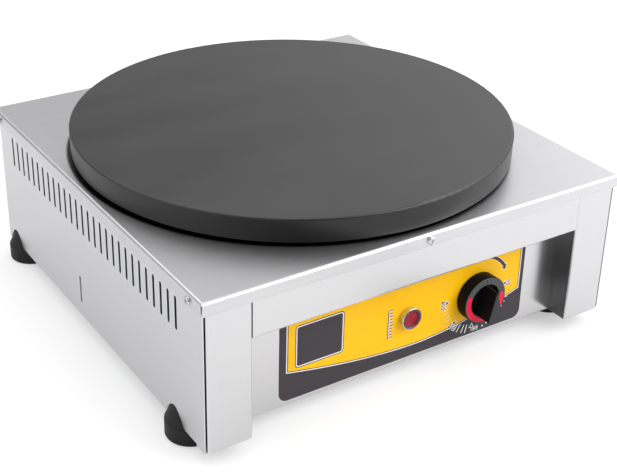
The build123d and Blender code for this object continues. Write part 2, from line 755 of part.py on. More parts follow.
def rear_panel_screws():
    """Screws through the side panels' rear returns."""
    length = 2 * SHEET + WELD_NUT_T + LAP
    seats = [facing(x * REAR_SCREW_X, REAR_Y, z, (0, 1, 0)) for x in (-1, 1) for z in REAR_SCREW_ZS]
    return group([seat * pan_screw(length) for seat in seats])


def rear_panel_nuts():
    """Weld nuts on the rear panel's inner face."""
    y = REAR_PANEL_Y - SHEET
    seats = [facing(x * REAR_SCREW_X, y, z, (0, 1, 0)) for x in (-1, 1) for z in REAR_SCREW_ZS]
    return group([seat * weld_nut() for seat in seats])


def base_plate():
    """Bottom plate above the feet: flanges turned up at both sides and at the rear."""
    top = FOOT_H + BASE_FLANGE
    across = [(-BASE_X, top), (-BASE_X, FOOT_H), (BASE_X, FOOT_H), (BASE_X, top)]
    section = folded(across, Side.LEFT, BASE_T)
    body = extrude(Plane.XZ.offset(-BASE_REAR_Y) * section, BASE_REAR_Y - BASE_FRONT_Y)
    seam_x = BASE_X - BEND_R - CORNER_SEAM
    along = [(BASE_REAR_Y - BASE_FLANGE, FOOT_H), (BASE_REAR_Y, FOOT_H), (BASE_REAR_Y, top)]
    rear = extrude(Plane.YZ.offset(-seam_x) * folded(along, Side.LEFT, BASE_T), 2 * seam_x)
    sharp = block((-BASE_X, BASE_X), (BASE_REAR_Y - BEND_R, BASE_REAR_Y), (FOOT_H, top))
    body = body - sharp + rear
    for x, y in FOOT_PLACES.values():
        body -= rod(FOOT_BORE_R, FOOT_H, BASE_TOP, x, y)
    return body


# ---------------------------------------------------------------- feet

def foot(x, y):
    """Rubber foot: a round base, a cone above it, and a sunk bore for its screw."""
    outline = [
        (FOOT_BORE_R, FOOT_H), (FOOT_TOP_R, FOOT_H), (FOOT_R, FOOT_BASE_H), (FOOT_R, 0),
        (FOOT_SINK_R, 0), (FOOT_SINK_R, FOOT_SINK_H), (FOOT_BORE_R, FOOT_SINK_H),
    ]
    body = lathe(outline)
    rings = body.edges().filter_by(GeomType.CIRCLE)
    outer = [e for e in rings if e.center().Z < FOOT_EDGE_R and e.radius > FOOT_SINK_R + FOOT_EDGE_R]
    return Pos(x, y) * fillet(outer, FOOT_EDGE_R)


def foot_screws():
    """Hexagon-head screws up through the feet and the base plate."""
    seat = FOOT_SINK_H - FOOT_WASHER_T
    head = extrude(RegularPolygon(FOOT_HEAD_AF / 2, 6, major_radius=False), -FOOT_HEAD_H)
    screw = Pos(0, 0, seat) * head + rod(FOOT_SCREW_R, seat, BASE_TOP + FOOT_NUT_H + FOOT_SCREW_TAIL)
    return group([Pos(x, y) * screw for x, y in FOOT_PLACES.values()])


def foot_washers():
    """Washers between the screws' heads and the feet."""
    ring = Circle(FOOT_WASHER_R) - Circle(FOOT_BORE_R)
    washer = extrude(Pos(0, 0, FOOT_SINK_H - FOOT_WASHER_T) * ring, FOOT_WASHER_T)
    return group([Pos(x, y) * washer for x, y in FOOT_PLACES.values()])


def foot_nuts():
    """Nuts on top of the base plate."""
    nut = hex_nut(FOOT_HEAD_AF, FOOT_NUT_H, FOOT_SCREW_R + STUD_FIT)
    return group([Pos(x, y, BASE_TOP) * nut for x, y in FOOT_PLACES.values()])


# ---------------------------------------------------------------- thermostat

def capillary_points():
    """The capillary's route from the bulb, down through the tray, to the thermostat's back."""
    a = radians(BULB_AZIMUTH)
    along = (-sin(a), cos(a))
    start = (
        BULB_CIRCLE_R * cos(a) + along[0] * BULB_L / 2,
        BULB_CIRCLE_R * sin(a) + along[1] * BULB_L / 2,
    )
    turn = (start[0] + along[0] * CAPILLARY_LEAD, start[1] + along[1] * CAPILLARY_LEAD)
    back_y = LABEL_Y + LABEL_T + SHEET + THERMOSTAT_FLANGE_T + THERMOSTAT_D
    entry = (KNOB_X - THERMOSTAT_W / 4, KNOB_Z + THERMOSTAT_W / 4)
    return [
        (start[0], start[1], BULB_Z), (turn[0], turn[1], BULB_Z),
        (turn[0], turn[1], TRAY_LOW - CAPILLARY_DROP), (entry[0], turn[1], entry[1]),
        (entry[0], back_y, entry[1]),
    ]


def thermostat_bulb():
    """Sensing bulb lying against the plate's underside."""
    bulb = Rot(90, 0, 0) * Cylinder(BULB_R, BULB_L)
    bulb = fillet(bulb.edges().filter_by(GeomType.CIRCLE), BULB_END_R)
    place = Rot(0, 0, BULB_AZIMUTH) * Pos(BULB_CIRCLE_R, 0, BULB_Z)
    return place * bulb


def bulb_clip():
    """Hat-shaped strap that holds the bulb up against the web."""
    inner = BULB_R + ELEMENT_GAP
    half = inner + CLIP_T
    low = -BULB_R - ELEMENT_GAP - CLIP_T
    top = BULB_R + ELEMENT_GAP
    hat = Rectangle(2 * half, top - low)
    hat = Pos(0, (top + low) / 2) * hat
    hat -= Pos(0, (top + low + CLIP_T) / 2) * Rectangle(2 * inner, top - low - CLIP_T)
    ears = Pos(0, top - CLIP_T / 2) * Rectangle(2 * (half + CLIP_EAR), CLIP_T)
    ears -= Pos(0, top - CLIP_T / 2) * Rectangle(2 * inner, CLIP_T)
    strap = extrude(Plane.XZ * (hat + ears), CLIP_W / 2, both=True)
    return Rot(0, 0, BULB_AZIMUTH) * Pos(BULB_CIRCLE_R, 0, BULB_Z) * strap


def capillary_tube():
    """Copper capillary along its route."""
    points = capillary_points()
    path = FilletPolyline(*points, radius=list(CAPILLARY_BENDS))
    start = Plane(origin=path @ 0, z_dir=path % 0)
    return sweep(start * Circle(CAPILLARY_R), path)


def thermostat_body():
    """Thermostat housing behind the panel, with its bush, its blind shaft bore and its blades."""
    face = -LABEL_T - SHEET
    back = face - THERMOSTAT_FLANGE_T - THERMOSTAT_D
    half = THERMOSTAT_W / 2
    body = block((-half, half), (-half, half), (back, face - THERMOSTAT_FLANGE_T))
    body = fillet(body.edges().filter_by(Axis.Z), BEND_R)
    flange_half = (THERMOSTAT_FLANGE_W / 2, THERMOSTAT_FLANGE_H / 2)
    body += block(
        (-flange_half[0], flange_half[0]), (-flange_half[1], flange_half[1]),
        (face - THERMOSTAT_FLANGE_T, face),
    )
    body += rod(BUSH_R, face, BUSH_PROUD)
    for x in (-1, 1):
        body += blade(x * BLADE_SPACING / 2, -BLADE_DROP, BLADE_W, BLADE_T, back, BLADE_L)
    body -= rod(SHAFT_R + SHAFT_FIT, SHAFT_PROUD - SHAFT_LENGTH - SHAFT_END_GAP, BUSH_PROUD)
    for y in (-1, 1):
        body -= rod(NUT_HOLE_R, face - THERMOSTAT_SCREW_L, face, 0, y * THERMOSTAT_SCREW_PITCH / 2)
    return DIAL * body


def thermostat_screws():
    """Two screws through the panel into the thermostat's flange, under the dial."""
    screw = pan_screw(THERMOSTAT_SCREW_L)
    pitch = THERMOSTAT_SCREW_PITCH / 2
    return group([DIAL * Pos(0, y * pitch, -LABEL_T) * screw for y in (-1, 1)])


def thermostat_shaft():
    """Shaft with a flat that the dial is pushed on to."""
    body = rod(SHAFT_R, SHAFT_PROUD - SHAFT_LENGTH, SHAFT_PROUD)
    body = chamfer(body.edges().group_by(Axis.Z)[-1], SHAFT_CHAMFER)
    flat_start = SHAFT_PROUD - SHAFT_FLAT_L
    body -= block((SHAFT_FLAT, SHAFT_R), (-SHAFT_R, SHAFT_R), (flat_start, SHAFT_PROUD))
    return DIAL * body


# ---------------------------------------------------------------- dial

def heat_arc(fit, low, high):
    """A curved bar with round ends, from its start clockwise."""
    inner, outer = ARC_IN_R + fit, ARC_OUT_R - fit
    middle, width = (inner + outer) / 2, (outer - inner) / 2
    section = Pos(middle, 0, (low + high) / 2) * (Plane.XZ * Rectangle(2 * width, high - low))
    bar = Rot(0, 0, ARC_START - ARC_SWEEP) * revolve(section, Axis.Z, ARC_SWEEP)
    for angle in (ARC_START, ARC_START - ARC_SWEEP):
        bar += rod(width, low, high, middle * cos(radians(angle)), middle * sin(radians(angle)))
    return bar


def grip():
    """Wedge grip: sharp towards the index, wide at its tail, with moulding draft."""
    tail = GRIP_TAIL_W / 2
    tip = GRIP_APEX_W / 2
    outline = make_face([
        Line((-tip, GRIP_APEX), (tip, GRIP_APEX)), Line((tip, GRIP_APEX), (tail, -GRIP_TAIL)),
        ThreePointArc((tail, -GRIP_TAIL), (0, -GRIP_TAIL - GRIP_TAIL_BULGE), (-tail, -GRIP_TAIL)),
        Line((-tail, -GRIP_TAIL), (-tip, GRIP_APEX)),
    ])
    floor = KNOB_RING_Z - WELL_DEPTH
    body = extrude(Pos(0, 0, GRIP_Z) * outline, floor - GRIP_Z, taper=-GRIP_DRAFT)
    return fillet(body.faces().sort_by(Axis.Z)[-1].edges(), GRIP_EDGE_R)


def control_knob():
    """Moulded dial: hollow skirt, dished face, wedge grip, D-bored hub and ribs behind."""
    floor = KNOB_RING_Z - WELL_DEPTH
    web = floor - WELL_WALL
    floor_r = WELL_R - WELL_SLOPE
    back_r = KNOB_R - KNOB_DRAFT
    roof = KNOB_RING_Z - KNOB_WALL
    shell = lathe([
        (0, floor), (floor_r, floor), (WELL_R, KNOB_RING_Z), (KNOB_R, KNOB_RING_Z),
        (back_r, KNOB_GAP), (back_r - KNOB_WALL, KNOB_GAP), (KNOB_R - KNOB_WALL, roof),
        (WELL_R + WELL_WALL, roof), (floor_r + WELL_WALL, web), (0, web),
    ])
    rim = [e for e in shell.edges().filter_by(GeomType.CIRCLE) if e.radius > KNOB_R - 0.01]
    shell = fillet(rim, GRIP_EDGE_R)
    hub_back = BUSH_PROUD + HUB_GAP
    body = shell + rod(HUB_R, hub_back, floor)
    for i in range(RIB_COUNT):
        body += Rot(0, 0, 360 / RIB_COUNT * (i + 0.5)) * knob_rib(roof, web)
    body += grip()
    body -= d_bore(hub_back)
    body -= heat_arc(0, KNOB_RING_Z - ARC_DEPTH, KNOB_RING_Z)
    tick = Box(TICK_W, TICK_L, 2 * TICK_DEPTH)
    body -= Pos(0, TICK_MID_R, KNOB_RING_Z) * tick
    return DIAL * body


def knob_rib(roof, web):
    """One rib behind the dial's face, from the hub to the skirt, under the well."""
    ends = (HUB_R - KNOB_WALL / 2, KNOB_R - KNOB_DRAFT - KNOB_WALL / 2)
    rib = block(ends, (-RIB_T / 2, RIB_T / 2), (KNOB_GAP + RIB_BACK, roof))
    middle = web + WELL_WALL / 2
    edge = WELL_R + WELL_WALL / 2
    well = lathe([
        (0, middle), (WELL_R - WELL_SLOPE, middle), (edge, roof), (edge, KNOB_RING_Z), (0, KNOB_RING_Z),
    ])
    return rib - well


def d_bore(hub_back):
    """The hub's bore: round behind, flat-sided along the shaft's flat, with the spring's pocket."""
    deep = SHAFT_PROUD + HUB_GAP
    radius = SHAFT_R + SHAFT_FIT
    flat_start = SHAFT_PROUD - SHAFT_FLAT_L
    bore = rod(radius, hub_back, deep)
    side = SHAFT_FLAT + SPRING_POCKET + SPRING_T / 2
    bore -= block((side, HUB_R), (-HUB_R, HUB_R), (flat_start, deep))
    return bore


def knob_spring_clip():
    """Leaf spring between the shaft's flat and the hub."""
    low = SHAFT_PROUD - SPRING_L - SPRING_INSET
    strip = Box(SPRING_T, SPRING_W, SPRING_L)
    x = SHAFT_FLAT + (SPRING_POCKET + SPRING_T / 2) / 2
    return DIAL * Pos(x, 0, low + SPRING_L / 2) * strip


def knob_heat_arc():
    """Red inlay in the dial's face."""
    return DIAL * heat_arc(ARC_FIT, KNOB_RING_Z - ARC_DEPTH, KNOB_RING_Z)


# ---------------------------------------------------------------- label and pilot lamp

def control_label():
    """Label sheet on the recessed panel, with round lower corners and two windows."""
    low = CASE_Z + LABEL_LIFT
    sheet = Pos(0, low + LABEL_H / 2) * Rectangle(LABEL_W, LABEL_H)
    sheet = fillet(sheet.vertices().group_by(Axis.Y)[0], LABEL_CORNER_R)
    sheet -= Pos(KNOB_X, KNOB_Z) * Circle(LABEL_WINDOW_R)
    sheet -= Pos(LAMP_X, LAMP_Z) * Circle(LAMP_HOLE_R)
    plane = Plane(origin=(0, PANEL_Y, 0), x_dir=(1, 0, 0), z_dir=(0, -1, 0))
    return extrude(plane * sheet, LABEL_T)


def pilot_lamp_bezel():
    """Turned bezel: threaded barrel, collar and rolled lip."""
    lip_low = LAMP_PROUD - LAMP_LIP_H
    step = LAMP_LIP_R - LAMP_COLLAR_R
    body = lathe([
        (LAMP_THROAT_R, -LAMP_TAIL), (LAMP_BARREL_R, -LAMP_TAIL), (LAMP_BARREL_R, 0),
        (LAMP_COLLAR_R, 0), (LAMP_COLLAR_R, lip_low - step), (LAMP_LIP_R, lip_low),
        (LAMP_LIP_R, LAMP_PROUD), (LAMP_BORE_R, LAMP_PROUD), (LAMP_BORE_R, LAMP_SEAT),
        (LAMP_THROAT_R, LAMP_SEAT),
    ])
    front = [e for e in body.edges().filter_by(GeomType.CIRCLE) if e.radius > LAMP_LIP_R - 0.01]
    return LAMP * fillet([e for e in front if e.center().Z > lip_low], LAMP_LIP_ROUND)


def pilot_lamp_lens():
    """Red lens with a low crown and a stem down the throat."""
    edge = LAMP_SEAT + LENS_T
    top = edge + LENS_CROWN
    crown_r = LAMP_BORE_R - LENS_FIT
    stem_r = LAMP_THROAT_R - LENS_FIT
    low = LENS_STEM - LAMP_TAIL
    ball_r = (crown_r ** 2 + LENS_CROWN ** 2) / (2 * LENS_CROWN)
    body = lathe([
        (0, low), (stem_r, low), (stem_r, LAMP_SEAT), (crown_r, LAMP_SEAT), (crown_r, top), (0, top),
    ])
    return LAMP * (body & Pos(0, 0, top - ball_r) * Sphere(ball_r))


def pilot_lamp_nut():
    """Nut that clamps the bezel to the panel from behind."""
    nut = hex_nut(LAMP_NUT_AF, LAMP_NUT_H, LAMP_BARREL_R + STUD_FIT)
    return LAMP * Pos(0, 0, -LABEL_T - SHEET - LAMP_NUT_H) * nut


def pilot_lamp_body():
    """Lamp holder behind the barrel, with its two blades."""
    back = -LAMP_TAIL - LAMP_BODY_L
    body = rod(LAMP_BODY_R, back, -LAMP_TAIL)
    body = fillet(body.edges().group_by(Axis.Z)[0], LAMP_BODY_ROUND)
    for x in (-1, 1):
        body += blade(x * LAMP_BLADE_SPACING / 2, 0, BLADE_T, LAMP_BLADE_W, back, LAMP_BLADE_L)
    return LAMP * body


# ---------------------------------------------------------------- cable gland and wiring base

def cable_gland():
    """Gland body: outer hexagon, threaded neck and inner thread, bored for the cable."""
    body = extrude(RegularPolygon(GLAND_AF / 2, 6, major_radius=False), GLAND_HEX_H)
    body += rod(GLAND_NECK_R, -GLAND_TAIL, GLAND_HEX_H + GLAND_NECK_L)
    return GLAND * (body - rod(GLAND_BORE_R, -GLAND_TAIL, GLAND_HEX_H + GLAND_NECK_L))


def gland_cap():
    """Domed cap nut on the gland's neck."""
    low = GLAND_HEX_H + GLAND_CAP_FIT
    top = low + GLAND_CAP_H
    inner = GLAND_NECK_R + GLAND_CAP_FIT
    roof = GLAND_HEX_H + GLAND_NECK_L + GLAND_CAP_FIT
    mouth = GLAND_BORE_R + 2 * GLAND_CAP_FIT
    body = lathe([
        (inner, low), (GLAND_CAP_R, low), (GLAND_CAP_R, top), (mouth, top), (mouth, roof), (inner, roof),
    ])
    edge = [e for e in body.edges().filter_by(GeomType.CIRCLE) if e.radius > inner]
    body = fillet([e for e in edge if e.center().Z > roof], GLAND_CAP_ROUND)
    return GLAND * body


def gland_nut():
    """Lock nut inside the rear panel."""
    nut = hex_nut(GLAND_AF, GLAND_NUT_H, GLAND_NECK_R + GLAND_CAP_FIT)
    return GLAND * Pos(0, 0, -SHEET - GLAND_NUT_H) * nut


def block_pole_xs():
    """The terminal block's pole centres."""
    pitch = (BLOCK_W - BLOCK_FIXING) / BLOCK_POLES
    return [BLOCK_X + pitch * (i - (BLOCK_POLES - 1) / 2) for i in range(BLOCK_POLES)]


def block_fixing_xs():
    """The two fixing screws' places, one in each shoulder of the terminal block."""
    inset = BLOCK_W / 2 - BLOCK_FIXING / 4
    return (BLOCK_X - inset, BLOCK_X + inset)


def terminal_block():
    """Stepped moulding with a wire bore and a screw well for each pole."""
    half_w, half_d = BLOCK_W / 2, BLOCK_D / 2
    top = BASE_TOP + BLOCK_H
    shoulder = BASE_TOP + BLOCK_STEP
    half_poles = (BLOCK_W - BLOCK_FIXING) / 2
    depth = (BLOCK_Y - half_d, BLOCK_Y + half_d)
    body = block((BLOCK_X - half_w, BLOCK_X + half_w), depth, (BASE_TOP, shoulder))
    body += block((BLOCK_X - half_poles, BLOCK_X + half_poles), depth, (shoulder, top))
    for x in block_pole_xs():
        body -= rod(BLOCK_SCREW_R + BLOCK_WELL_FIT, top - BLOCK_WELL_DEPTH, top, x, BLOCK_Y)
        tunnel = Rot(90, 0, 0) * Cylinder(BLOCK_SCREW_R, BLOCK_D)
        body -= Pos(x, BLOCK_Y, shoulder + BLOCK_BORE_LIFT) * tunnel
    for x in block_fixing_xs():
        body -= rod(SCREW_R + BLOCK_FIXING_FIT, BASE_TOP, shoulder, x, BLOCK_Y)
    return body


def terminal_screws():
    """Clamp screws in the block's wells and two screws that fix it to the base plate."""
    top = BASE_TOP + BLOCK_H
    clamp = (top - BLOCK_WELL_DEPTH, top - BLOCK_SCREW_SUNK)
    screws = [rod(BLOCK_SCREW_R, *clamp, x, BLOCK_Y) for x in block_pole_xs()]
    for x in block_fixing_xs():
        screws.append(Pos(x, BLOCK_Y, BASE_TOP + BLOCK_STEP) * pan_screw(BLOCK_STEP))
    return group(screws)


def earth_stud():
    """Brass stud standing on the base plate."""
    return rod(EARTH_R, BASE_TOP, BASE_TOP + EARTH_H, EARTH_X, BLOCK_Y)


def earth_nuts():
    """Two nuts on the earth stud."""
    nut = hex_nut(EARTH_NUT_AF, EARTH_NUT_H, EARTH_R + STUD_FIT)
    lifts = (0.0, EARTH_NUT_H + EARTH_NUT_GAP)
    return group([Pos(EARTH_X, BLOCK_Y, BASE_TOP + lift) * nut for lift in lifts])


# ---------------------------------------------------------------- write the nodes

def main():
    save("crepe_plate", crepe_plate())
    save("plate_support_ring", plate_support_ring())
    save("plate_studs", plate_studs())
    save("heating_element_outer", heating_element(OUTER_RING_R))
    save("heating_element_inner", heating_element(INNER_RING_R))
    save("element_clamp", element_clamp())
    save("clamp_nuts", stud_nuts(CLAMP_TOP - CLAMP_T))
    save("heat_tray", heat_tray())
    save("insulation_pad", insulation_pad())
    save("reflector_plate", reflector_plate())
    save("tray_nuts", stud_nuts(TRAY_LOW))

    save("top_cover", top_cover())
    save("cover_screws", cover_screws())
    save("cover_nuts", cover_nuts())
    left_side = side_panel()
    save("side_panel_left", left_side)
    save("side_panel_right", mirror(left_side, Plane.YZ))
    left_post = front_post()
    save("front_post_left", left_post)
    save("front_post_right", mirror(left_post, Plane.YZ))
    save("front_panel", front_panel())
    save("rear_panel", rear_panel())
    save("rear_panel_screws", rear_panel_screws())
    save("rear_panel_nuts", rear_panel_nuts())
    save("base_plate", base_plate())

    for name, (x, y) in FOOT_PLACES.items():
        save(name, foot(x, y))
    save("foot_screws", foot_screws())
    save("foot_washers", foot_washers())
    save("foot_nuts", foot_nuts())

    save("thermostat_body", thermostat_body())
    save("thermostat_screws", thermostat_screws())
    save("thermostat_shaft", thermostat_shaft())
    save("thermostat_bulb", thermostat_bulb())
    save("bulb_clip", bulb_clip())
    save("capillary_tube", capillary_tube())
    save("control_knob", control_knob())
    save("knob_heat_arc", knob_heat_arc())
    save("knob_spring_clip", knob_spring_clip())

    save("control_label", control_label())
    save("pilot_lamp_bezel", pilot_lamp_bezel())
    save("pilot_lamp_lens", pilot_lamp_lens())
    save("pilot_lamp_nut", pilot_lamp_nut())
    save("pilot_lamp_body", pilot_lamp_body())

    save("cable_gland", cable_gland())
    save("gland_cap", gland_cap())
    save("gland_nut", gland_nut())
    save("terminal_block", terminal_block())
    save("terminal_screws", terminal_screws())
    save("earth_stud", earth_stud())
    save("earth_nuts", earth_nuts())


main()
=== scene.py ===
"""Electric crepe maker: finishes, label print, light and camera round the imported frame."""
import json
import math

import bmesh
import bpy
from mathutils import Matrix, Vector


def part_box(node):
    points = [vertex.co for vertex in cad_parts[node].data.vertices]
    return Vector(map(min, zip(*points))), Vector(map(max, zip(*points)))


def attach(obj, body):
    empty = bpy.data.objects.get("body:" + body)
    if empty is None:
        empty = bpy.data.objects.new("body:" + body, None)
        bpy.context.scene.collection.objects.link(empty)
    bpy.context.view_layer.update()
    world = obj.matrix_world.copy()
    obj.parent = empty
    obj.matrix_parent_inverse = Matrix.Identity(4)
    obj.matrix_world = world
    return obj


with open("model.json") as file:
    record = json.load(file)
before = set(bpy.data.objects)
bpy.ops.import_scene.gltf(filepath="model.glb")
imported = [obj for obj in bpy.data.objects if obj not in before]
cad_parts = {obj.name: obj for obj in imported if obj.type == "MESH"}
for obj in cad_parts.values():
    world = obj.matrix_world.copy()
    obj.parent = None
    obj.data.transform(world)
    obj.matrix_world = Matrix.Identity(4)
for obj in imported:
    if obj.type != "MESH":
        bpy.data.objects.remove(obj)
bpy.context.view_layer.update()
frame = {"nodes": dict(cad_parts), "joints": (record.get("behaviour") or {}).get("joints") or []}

MM = 0.001

# ---------------------------------------------------------------- places read from the frame

LABEL_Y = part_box("control_label")[0].y
PLATE_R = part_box("crepe_plate")[1].x
DIAL_X, _, DIAL_Z = next(joint["pos_m"] for joint in frame["joints"] if joint["name"] == "dial_turn")
RING_FACE_Y = LABEL_Y - 12.3 * MM
GRIP_TOP_Y = LABEL_Y - 20.0 * MM


# ---------------------------------------------------------------- colours

def srgb(red, green, blue):
    """A colour given in 0 to 255 display values, as linear RGBA."""
    linear = []
    for value in (red, green, blue):
        share = value / 255
        linear.append(share / 12.92 if share <= 0.04045 else ((share + 0.055) / 1.055) ** 2.4)
    return (*linear, 1.0)


STEEL = srgb(226, 226, 228)
ZINC = srgb(222, 224, 228)
GALVANISED = srgb(168, 172, 176)
IRON = srgb(44, 44, 45)
IRON_RIM = srgb(3, 3, 4)
ENAMEL = srgb(14, 14, 15)
SHEATH = srgb(88, 82, 78)
RUBBER = srgb(17, 17, 18)
DIAL_BLACK = srgb(16, 16, 17)
DIAL_GREY = srgb(88, 89, 91)
DIAL_RED = srgb(235, 26, 66)
CHARCOAL = srgb(62, 57, 62)
YELLOW = srgb(255, 194, 16)
WHITE = srgb(238, 237, 240)
CHROME = srgb(222, 222, 224)
LENS_RED = srgb(150, 6, 30)
NYLON = srgb(34, 34, 35)
MOULDING = srgb(226, 222, 210)
COPPER = srgb(196, 118, 84)
BRASS = srgb(212, 176, 104)
FIBRE = srgb(228, 224, 214)
PURE_BLACK = (0.0, 0.0, 0.0, 1.0)
PURE_WHITE = (1.0, 1.0, 1.0, 1.0)
FLOOR_PALE = (0.62, 0.62, 0.62, 1.0)
FLOOR_DARK = (0.02, 0.02, 0.02, 1.0)


# ---------------------------------------------------------------- node tools

# Where a Mix node has its first value, second value and result
MIX_SOCKETS = {"FLOAT": (2, 3, 0), "RGBA": (6, 7, 2)}
BEVEL_SAMPLES = 6
# The part of a noise's range where most of it lies
NOISE_LOW, NOISE_HIGH = 0.3, 0.7


class Nodes:
    """A node tree, with short calls for the nodes it needs. Values are sockets, numbers or colours."""

    def __init__(self, tree):
        self.tree = tree

    def new(self, kind, **settings):
        """A new node."""
        node = self.tree.nodes.new(kind)
        for name, value in settings.items():
            setattr(node, name, value)
        return node

    def feed(self, socket, value):
        """Links a value to an input, or sets it there if it is constant."""
        if isinstance(value, bpy.types.NodeSocket):
            self.tree.links.new(value, socket)
        else:
            socket.default_value = value

    def calc(self, operation, *values):
        """One math node."""
        node = self.new("ShaderNodeMath", operation=operation)
        for socket, value in zip(node.inputs, values):
            self.feed(socket, value)
        return node.outputs["Value"]

    def product(self, first, *others):
        """Values multiplied together."""
        for other in others:
            first = self.calc("MULTIPLY", first, other)
        return first

    def ramp(self, value, start, end, low=0.0, high=1.0, kind="LINEAR"):
        """Low up to start, high from end on, and a slope between them."""
        node = self.new("ShaderNodeMapRange", interpolation_type=kind)
        settings = {"Value": value, "From Min": start, "From Max": end, "To Min": low, "To Max": high}
        for name, setting in settings.items():
            self.feed(node.inputs[name], setting)
        return node.outputs["Result"]

    def mix(self, kind, share, first, second):
        """Between two values (FLOAT) or two colours (RGBA), by a share from 0 to 1."""
        node = self.new("ShaderNodeMix", data_type=kind)
        first_at, second_at, result_at = MIX_SOCKETS[kind]
        for place, value in ((0, share), (first_at, first), (second_at, second)):
            self.feed(node.inputs[place], value)
        return node.outputs[result_at]

    def axes(self, kind):
        """The X, Y and Z parts of one kind of coordinates, or of the object's own normal."""
        node = self.new("ShaderNodeSeparateXYZ")
        self.feed(node.inputs["Vector"], self.new("ShaderNodeTexCoord").outputs[kind])
        return node.outputs

    def from_axis(self, x=0.0, y=0.0):
        """Distance from an upright axis, in metres."""
        axes = self.axes("Object")
        offsets = [self.calc("SUBTRACT", axes[0], x), self.calc("SUBTRACT", axes[1], y)]
        squares = [self.calc("MULTIPLY", offset, offset) for offset in offsets]
        return self.calc("SQRT", self.calc("ADD", *squares))


class Finish(Nodes):
    """One material of a piece."""

    def __init__(self, name, color, roughness, metallic=0.0):
        self.material = bpy.data.materials.new(name)
        self.material.use_nodes = True
        super().__init__(self.material.node_tree)
        self.shader = self.tree.nodes["Principled BSDF"]
        self.shader.inputs["Metallic"].default_value = metallic
        self.shader.inputs["Roughness"].default_value = roughness
        self.color = color
        self.roughness = roughness
        self.coords = self.new("ShaderNodeTexCoord").outputs["Object"]

    def noise(self, scale, detail, rough=0.5, vector=None):
        """Noise from 0 to 1."""
        node = self.new("ShaderNodeTexNoise")
        settings = {"Scale": scale, "Detail": detail, "Roughness": rough, "Vector": vector or self.coords}
        for name, setting in settings.items():
            self.feed(node.inputs[name], setting)
        return node.outputs["Fac"]

    def stretched_noise(self, scales, detail, rough, turn=0.0):
        """Noise with a scale of its own along each axis, turned about Z."""
        node = self.new("ShaderNodeMapping")
        node.inputs["Scale"].default_value = scales
        node.inputs["Rotation"].default_value = (0.0, 0.0, turn)
        self.feed(node.inputs["Vector"], self.coords)
        return self.noise(1.0, detail, rough, node.outputs["Vector"])

    def stretch(self, noise, low=0.0, high=1.0):
        """The middle of a noise, mapped to a range."""
        return self.ramp(noise, NOISE_LOW, NOISE_HIGH, low, high)

    def paint(self, share, first, second):
        """Base colour between two colours, by a share from 0 to 1."""
        mixed = self.mix("RGBA", share, first, second)
        self.feed(self.shader.inputs["Base Color"], mixed)
        return mixed

    def tint(self, share, dark, light=1.0):
        """Base colour from the finish's colour times a lightness that varies."""
        shades = [(*[min(1.0, part * times) for part in self.color[:3]], 1.0) for times in (dark, light)]
        return self.paint(share, *shades)

    def rough(self, share, spread):
        """Roughness round the finish's own, by a share from 0 to 1."""
        value = self.ramp(share, 0.0, 1.0, self.roughness - spread, self.roughness + spread)
        self.feed(self.shader.inputs["Roughness"], value)

    def rounded_normal(self, radius):
        """The surface's normal, as if its edges were rounded by a radius."""
        bevel = self.new("ShaderNodeBevel", samples=BEVEL_SAMPLES)
        bevel.inputs["Radius"].default_value = radius
        return bevel.outputs["Normal"]

    def highlight_edges(self, radius):
        """One on sharp edges, zero on flat faces: where the dial's painted highlight goes."""
        # Cosines between the rounded and the true normal
        sharp, flat = 0.86, 0.985
        dot = self.new("ShaderNodeVectorMath", operation="DOT_PRODUCT")
        self.feed(dot.inputs[0], self.rounded_normal(radius))
        self.feed(dot.inputs[1], self.new("ShaderNodeNewGeometry").outputs["Normal"])
        return self.ramp(dot.outputs["Value"], sharp, flat, low=1.0, high=0.0)

    def bump(self, height, depth, strength, edge=0.0):
        """Relief of a depth in metres, over edges rounded by a radius."""
        node = self.new("ShaderNodeBump")
        node.inputs["Distance"].default_value = depth
        node.inputs["Strength"].default_value = strength
        self.feed(node.inputs["Height"], height)
        if edge:
            self.feed(node.inputs["Normal"], self.rounded_normal(edge))
        self.feed(self.shader.inputs["Normal"], node.outputs["Normal"])

    def set(self, **values):
        """Constant values on the shader's own sockets."""
        for name, value in values.items():
            self.shader.inputs[name.replace("_", " ")].default_value = value
        return self.material


# ---------------------------------------------------------------- materials

def grain_scales(axis, along, across):
    """Noise scales for lines that run along one axis."""
    return [along if letter == axis else across for letter in "XYZ"]


def brushed_steel(name, axis, roughness=0.30, streak=0.04, shade=None):
    """Stainless sheet: fine brush lines along an axis, faint handling marks, darker where shade says."""
    finish = Finish(name, STEEL, roughness, metallic=1.0)
    lines = finish.stretched_noise(grain_scales(axis, along=22.0, across=2600.0), detail=3.0, rough=0.6)
    streaks = finish.stretched_noise(grain_scales(axis, along=7.0, across=700.0), detail=4.0, rough=0.7)
    handling = finish.noise(9.0, detail=3.0)
    marks = finish.calc("ADD", finish.stretch(handling, high=0.5), finish.stretch(streaks, high=0.5))
    tinted = finish.tint(marks, dark=1.0 - streak)
    if shade:
        finish.paint(shade(finish), tinted, PURE_BLACK)
    finish.rough(finish.ramp(lines, 0.25, 0.75), spread=0.03)
    finish.bump(lines, depth=0.005 * MM, strength=0.35, edge=0.35 * MM)
    return finish.material


def painted_cover_shade(finish):
    """How dark the cover is: a painted shadow under the plate's rim, and a touch of painted shade towards the
    cover's left.
    """
    # Painted shadow under the plate: black to just past its rim, round a centre set off to the left and back
    from_middle = finish.from_axis(x=-2.6 * MM, y=1.7 * MM)
    plate_shadow = finish.ramp(from_middle, PLATE_R - 0.8 * MM, PLATE_R + 1.6 * MM, low=0.97, high=0.0)
    # Painted shade: a little darker towards the cover's left
    left = finish.ramp(finish.axes("Object")[0], -0.20, 0.04, low=0.03, high=0.0)
    return finish.calc("MAXIMUM", plate_shadow, left)


def painted_recess_shade(finish):
    """How dark the posts are: painted shade on the faces turned sideways, into the recess."""
    sideways = finish.calc("ABSOLUTE", finish.axes("Normal")[0])
    return finish.ramp(sideways, 0.85, 0.97, low=0.0, high=0.82)


